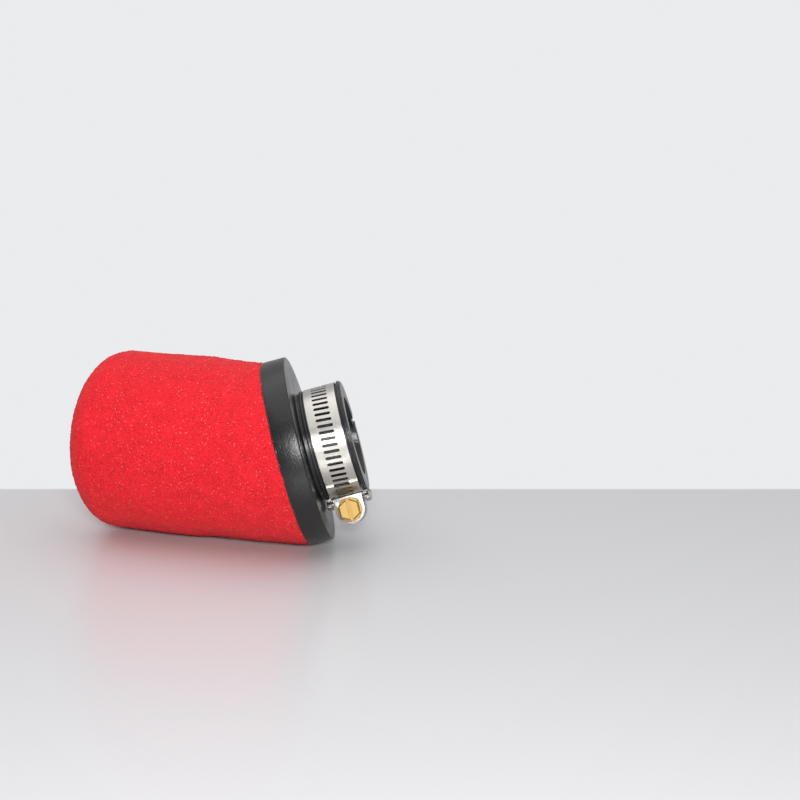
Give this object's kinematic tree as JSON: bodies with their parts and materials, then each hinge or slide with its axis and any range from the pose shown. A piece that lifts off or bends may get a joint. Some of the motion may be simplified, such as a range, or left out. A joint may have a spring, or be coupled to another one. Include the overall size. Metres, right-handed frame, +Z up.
{
  "type": "clamp-on foam pod air filter",
  "caption": "Round foam pod air filter with a domed end, leaning off a short moulded rubber neck that a worm-drive band clamp holds on an intake.",
  "frame": {"origin": "centre of the mouth, where the neck bore opens", "axes": "+Z up from the table it lies on, +X along the foam's resting line from the closed end towards the neck"},
  "size_m": [0.1207, 0.0749, 0.0752],
  "materials": {
    "foam_red": "open-cell polyurethane foam, oiled",
    "foam_fine": "fine-cell polyurethane foam",
    "rubber": "semi-gloss moulded rubber",
    "adhesive": "glossy adhesive",
    "wire": "plated wire",
    "stainless": "rolled stainless strip",
    "zinc_yellow": "yellow zinc plate"
  },
  "bodies": {
    "filter": {"rubber_flange": "rubber", "glue_layer": "adhesive", "outer_foam": "foam_red", "inner_foam": "foam_fine", "cage_ring": "wire", "cage_hoop_first": "wire", "cage_hoop_middle": "wire", "cage_hoop_last": "wire", "cage_bow_upper": "wire", "cage_bow_lower": "wire"},
    "clamp_head": {"clamp_housing": "stainless", "clamp_saddle": "stainless"},
    "screw": {"clamp_screw": "zinc_yellow"},
    "band": {"clamp_band": "stainless"}
  },
  "joints": [
    {"name": "clamp_turn", "type": "hinge", "parent": "filter", "child": "clamp_head", "pos_m": [0, 0, 0], "axis": [-0.9021, -0.3438, -0.2607], "continuous": true},
    {"name": "worm_turn", "type": "hinge", "parent": "clamp_head", "child": "screw", "pos_m": [0.00158, -0.00811, -0.02829], "axis": [-0.2704, 0.9213, -0.2793], "range_deg": [-720, 720]},
    {"name": "band_feed", "type": "hinge", "parent": "clamp_head", "child": "band", "pos_m": [0, 0, 0], "axis": [-0.9021, -0.3438, -0.2607], "range_deg": [-13.2, 13.2]}
  ],
  "couplings": [
    {"joint": "band_feed", "follows": "worm_turn", "ratio": 0.018182}
  ]
}
